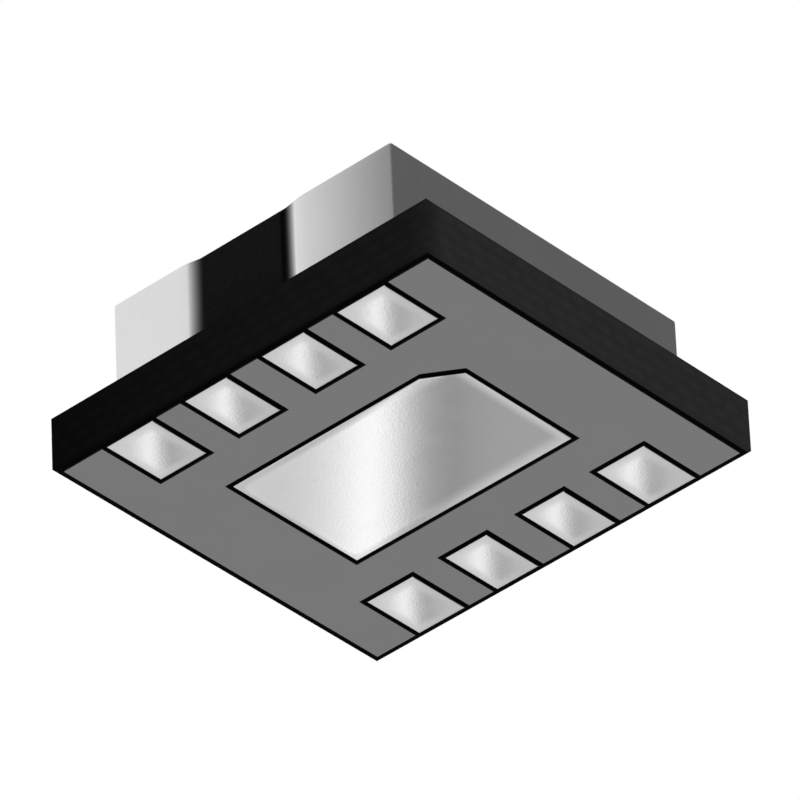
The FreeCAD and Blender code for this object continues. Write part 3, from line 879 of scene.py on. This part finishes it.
def solder_mesh(net, settings):
    """Solder joint: under a cap, round its lower edge and down a hollow that is lower at both ends."""
    half_length = high("switch_solder_joint").y
    shape = bmesh.new()
    loops = []
    for index in range(settings.slices + 1):
        share = math.sin((index / settings.slices - 0.5) * math.pi)
        profile = solder_profile(share, settings)
        loops.append([shape.verts.new((SIDES[net] * x, share * half_length, z)) for x, z in profile])
    skin(shape, loops)
    return mesh_from(f"{net}_fillet", shape)


def cap_ring(outset, radius):
    """Points round a cap's section, set out from the core's box, as pairs of y and z."""
    lowest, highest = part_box("inductor_core")
    half_y = highest.y + outset - radius
    bottom, top = lowest.z - outset + radius, highest.z + outset - radius
    arcs = []
    for quarter, (y, z) in enumerate([(half_y, top), (-half_y, top), (-half_y, bottom), (half_y, bottom)]):
        turns = [(quarter + step / CORNER_STEPS) * math.pi / 2 for step in range(CORNER_STEPS + 1)]
        arcs.append([(y + radius * math.cos(turn), z + radius * math.sin(turn)) for turn in turns])
    ring = []
    for arc, following in zip(arcs, arcs[1:] + arcs[:1]):
        ring += arc
        (from_y, from_z), (goal_y, goal_z) = arc[-1], following[0]
        for step in range(1, STRAIGHT_STEPS):
            share = step / STRAIGHT_STEPS
            ring.append((from_y + (goal_y - from_y) * share, from_z + (goal_z - from_z) * share))
    return ring


def cap_rows(node, settings):
    """Mouth and end of a cap along X, and each ring's place along X, outset from the core and rounding."""
    core = high("inductor_core")
    lowest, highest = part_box(node)
    wall = highest.y - core.y
    mouth = min(abs(lowest.x), abs(highest.x)) - settings.feather / 2
    end = max(abs(lowest.x), abs(highest.x))
    full = mouth + settings.feather
    rows = [(core.x - SUNK, -SUNK, SUNK_RADIUS), (full, -SUNK, SUNK_RADIUS)]
    for step in range(CAP_STEPS + 1):
        share = step / CAP_STEPS
        outset = (wall + SUNK) * share * share * (3 - 2 * share) - SUNK
        radius = SUNK_RADIUS + (settings.cap_edge - SUNK_RADIUS) * share
        rows.append((mouth + settings.feather * share, outset, radius))
    bend = settings.cap_end
    for turn in quarter_turn(CAP_STEPS):
        drop = bend * (1 - math.cos(turn))
        x = end - settings.cap_crown - bend + bend * math.sin(turn)
        rows.append((x, wall - drop, settings.cap_edge - drop))
    return mouth, end, rows


def cap_mesh(net, settings):
    """End cap: five thin walls round the end of the core, rounded edges, thinning out to the mouth."""
    node, side = f"{net}_terminal", SIDES[net]
    mouth, end, rows = cap_rows(node, settings)
    shape = bmesh.new()
    loops = []
    for x, outset, radius in rows:
        near_mouth = max(0.0, 1 - (x - mouth) / (2 * settings.feather))
        loop = []
        for y, z in cap_ring(outset, radius):
            wave = sum(share * math.sin((y * across + z * up) / MM) for share, across, up in WAVES)
            loop.append(shape.verts.new((side * (x + settings.ripple * wave * near_mouth), y, z)))
        loops.append(loop)
    rim = [vertex.co for vertex in loops[-1]]
    level = middle(node).z
    for share in CAP_RINGS:
        x = side * (end - settings.cap_crown * (1 - share) ** 3)
        loops.append([
            shape.verts.new((x, place.y * (1 - share), level + (place.z - level) * (1 - share)))
            for place in rim
        ])
    skin(shape, loops)
    return mesh_from(f"{net}_cap", shape)


class MODULE_OT_contacts(bpy.types.Operator):
    """Set the eight plated contacts in their two rows"""

    bl_idname = "module.contacts"
    bl_label = "Contacts"

    def execute(self, context):
        settings = context.scene.module_contacts
        finish = contact_finish(settings)
        pad = extent("pad_1")
        values = {
            "Pitch": middle("pad_1").x - middle("pad_2").x,
            "Row offset": middle("pad_8").y,
            "Outer width": pad.x,
            "Inner width": extent("pad_2").x,
            "Length": pad.y,
            "Thickness": PLATE,
            "Edge radius": settings.edge_radius,
            "Crown": settings.crown,
            "Riser width": settings.riser_width,
            "Riser length": settings.riser_length,
            "Riser height": pad.z - PLATE,
            "Cells": settings.cells,
            "Material": finish,
        }
        mesh = grown("contacts", contact_tree(values), values)
        add_piece(mesh, CONTACT_CREASE, finish, "tin_plated_contact", *PADS)
        return {"FINISHED"}


class MODULE_OT_thermal_pad(bpy.types.Operator):
    """Shape the thermal pad with its chamfered corner"""

    bl_idname = "module.thermal_pad"
    bl_label = "Thermal pad"

    def execute(self, context):
        settings = context.scene.module_contacts
        finish = thermal_finish(settings)
        mesh = thermal_mesh(settings)
        add_piece(mesh, CONTACT_CREASE, finish, "tin_plated_contact", "thermal_pad")
        return {"FINISHED"}


class MODULE_OT_board(bpy.types.Operator):
    """Finish the laminate, the solder mask on both faces and the lands"""

    bl_idname = "module.board"
    bl_label = "Board"

    def execute(self, context):
        settings = context.scene.module_board
        paint(laminate_finish(settings), "laminate")
        paint(mask_finish(settings), "bottom_solder_mask", "top_solder_mask")
        paint(land_finish(context.scene.module_contacts), "switch_land", "output_land")
        return {"FINISHED"}


class MODULE_OT_inductor(bpy.types.Operator):
    """Finish the core and shape the end caps of the inductor"""

    bl_idname = "module.inductor"
    bl_label = "Inductor"

    def execute(self, context):
        settings = context.scene.module_inductor
        paint(core_finish(settings), "inductor_core")
        finish = terminal_finish(settings)
        for net in SIDES:
            mesh = cap_mesh(net, settings)
            add_piece(mesh, INDUCTOR_CREASE, finish, "tin_plated_terminal", f"{net}_terminal")
        return {"FINISHED"}


class MODULE_OT_solder(bpy.types.Operator):
    """Shape the two solder joints that hold the inductor"""

    bl_idname = "module.solder"
    bl_label = "Solder joints"

    def execute(self, context):
        settings = context.scene.module_inductor
        finish = solder_finish(settings)
        for net in SIDES:
            mesh = solder_mesh(net, settings)
            add_piece(mesh, INDUCTOR_CREASE, finish, "solder", f"{net}_solder_joint")
        return {"FINISHED"}


class MODULE_OT_inside(bpy.types.Operator):
    """Finish the die, the inner copper, the winding and the films"""

    bl_idname = "module.inside"
    bl_label = "Inside"

    def execute(self, context):
        settings = context.scene.module_hidden
        paint(copper_finish(settings), *TRACES, "die_contacts", "inductor_coil")
        paint(silicon_finish(settings), "die")
        paint(film_finish("attach_film", settings.attach), "die_attach_film")
        paint(film_finish("carrier_film", settings.carrier), "coil_carrier")
        return {"FINISHED"}


def make_floor(settings):
    """Round pale floor that shows from above and lets the view from below through."""
    shape = bmesh.new()
    bmesh.ops.create_circle(shape, cap_ends=True, segments=FLOOR_SEGMENTS, radius=settings.floor_radius)
    for vertex in shape.verts:
        vertex.co.z = -settings.floor_drop
    for face in shape.faces:
        if face.normal.z < 0:
            face.normal_flip()
    mesh = bpy.data.meshes.new("floor")
    shape.to_mesh(mesh)
    shape.free()
    material = bpy.data.materials.new("pale_floor")
    material.use_nodes = True
    sheet = NodeSheet(material.node_tree)
    matte = sheet.node("ShaderNodeBsdfDiffuse", {"Color": settings.floor})
    clear = sheet.node("ShaderNodeBsdfTransparent")
    behind = sheet.node("ShaderNodeNewGeometry", output="Backfacing")
    chosen = sheet.node("ShaderNodeMixShader", {0: behind, 1: matte, 2: clear})
    sheet.node("ShaderNodeOutputMaterial", {0: chosen})
    mesh.materials.append(material)
    floor = add_object("floor", mesh)
    for ray in ("diffuse", "glossy", "transmission", "shadow"):
        setattr(floor, f"visible_{ray}", False)


def direction(bearing, height):
    """Unit vector towards a bearing, from -Y towards +X, and a height."""
    level = math.cos(height)
    return Vector((math.sin(bearing) * level, -math.cos(bearing) * level, math.sin(height)))


def make_lamp(name, settings, bearing, height):
    """Broad soft lamp that lights matte surfaces only."""
    data = bpy.data.lights.new(name, "SUN")
    data.energy = settings.lamp_level
    data.angle = settings.lamp_spread
    lamp = add_object(name, data)
    lamp.rotation_euler = direction(bearing, height).to_track_quat("Z", "Y").to_euler()
    lamp.visible_glossy = False


def studio_level(sheet, x, y, z):
    """What metal mirrors: a light and a dark side above, and the bands of the levels below."""
    lit = -rolled(x, y)
    turned = x * ROLLED.y + y * -ROLLED.x
    flag = 1 - turned.rise(0.18, 0.6) * lit.rise(0.2, 0.6) * ABOVE_FLAG
    skyline = (1 - z.rise(0.1, 0.45)) * (-lit).rise(0.5, 0.95) * ABOVE_SKYLINE
    above = ABOVE_DARK + lit.rise(-0.85, 0.75) * flag * ABOVE_LIGHT + skyline
    stops = [(place / 2 + 0.5, level / BELOW_PEAK) for place, level in BELOW_LEVELS]
    below = sheet.node("ShaderNodeValToRGB", {0: lit * 0.5 + 0.5}, stops=stops) * BELOW_PEAK
    is_below = 1 - z.rise(-0.35, -0.2)
    return above + is_below * (below - above)


def make_world(settings):
    """White to the camera, even for matte surfaces, and a soft studio for metal to mirror."""
    world = bpy.data.worlds.new("studio")
    bpy.context.scene.world = world
    world.use_nodes = True
    world.cycles.sampling_method = "NONE"
    sheet = NodeSheet(world.node_tree)
    x, y, z = sheet.parts(sheet.node("ShaderNodeTexCoord", output="Generated"))
    studio = studio_level(sheet, x, y, z)
    camera = sheet.node("ShaderNodeLightPath", output="Is Camera Ray")
    glossy = sheet.node("ShaderNodeLightPath", output="Is Glossy Ray")
    sky = settings.horizon_level + z.rise(0.05, 0.35) * (1 - settings.horizon_level)
    strength = camera * sky + (1 - camera) * (glossy * studio + (1 - glossy) * settings.world_level)
    back = sheet.node("ShaderNodeBackground", {"Color": (1.0, 1.0, 1.0), "Strength": strength})
    sheet.node("ShaderNodeOutputWorld", {0: back})


def make_camera(settings):
    """Camera at a bearing, a height and a roll about the point that it looks at."""
    data = bpy.data.cameras.new("camera")
    data.lens = settings.lens
    data.clip_start = NEAREST
    data.clip_end = FARTHEST
    camera = add_object("camera", data)
    back = direction(settings.azimuth, settings.elevation)
    place = Matrix.Translation(Vector(settings.aim) + back * settings.distance)
    gaze = (-back).to_track_quat("-Z", "Y").to_matrix()
    roll = Euler((0.0, 0.0, settings.roll)).to_matrix()
    camera.matrix_world = place @ (gaze @ roll).to_4x4()
    bpy.context.scene.camera = camera


class MODULE_OT_stage(bpy.types.Operator):
    """Set the camera, the floor, the lamps and the world"""

    bl_idname = "module.stage"
    bl_label = "Stage"

    def execute(self, context):
        settings = context.scene.module_stage
        make_camera(settings)
        make_floor(settings)
        make_world(settings)
        for name, (bearing, height) in LAMPS.items():
            make_lamp(name, settings, math.radians(bearing), math.radians(height))
        context.scene.view_settings.view_transform = "Standard"
        return {"FINISHED"}


class MODULE_PT_sidebar(bpy.types.Panel):
    """Sidebar panel with the settings and the steps."""

    bl_idname = "MODULE_PT_sidebar"
    bl_label = "Buck converter module"
    bl_space_type = "VIEW_3D"
    bl_region_type = "UI"
    bl_category = "Module"

    def draw(self, context):
        for name in SETTINGS:
            box = self.layout.box()
            group = getattr(context.scene, name)
            for key in group.bl_rna.properties.keys():
                if key not in ("rna_type", "name"):
                    box.prop(group, key)
        for step in STEPS:
            self.layout.operator(step.bl_idname)


SETTINGS = {
    "module_contacts": ContactSettings,
    "module_board": BoardSettings,
    "module_inductor": InductorSettings,
    "module_hidden": HiddenSettings,
    "module_stage": StageSettings,
}
STEPS = [
    MODULE_OT_contacts,
    MODULE_OT_thermal_pad,
    MODULE_OT_board,
    MODULE_OT_inductor,
    MODULE_OT_solder,
    MODULE_OT_inside,
    MODULE_OT_stage,
]


def register():
    """Registers the classes and hangs the settings on the scene."""
    for group in (*SETTINGS.values(), *STEPS, MODULE_PT_sidebar):
        bpy.utils.register_class(group)
    for name, group in SETTINGS.items():
        setattr(bpy.types.Scene, name, PointerProperty(type=group))


def unregister():
    """Takes the settings and the classes away again."""
    for name in SETTINGS:
        delattr(bpy.types.Scene, name)
    for group in (MODULE_PT_sidebar, *reversed(STEPS), *reversed(SETTINGS.values())):
        bpy.utils.unregister_class(group)


def main():
    """Runs every step in order."""
    register()
    for step in STEPS:
        group, action = step.bl_idname.split(".")
        getattr(getattr(bpy.ops, group), action)()


if __name__ == "__main__":
    main()
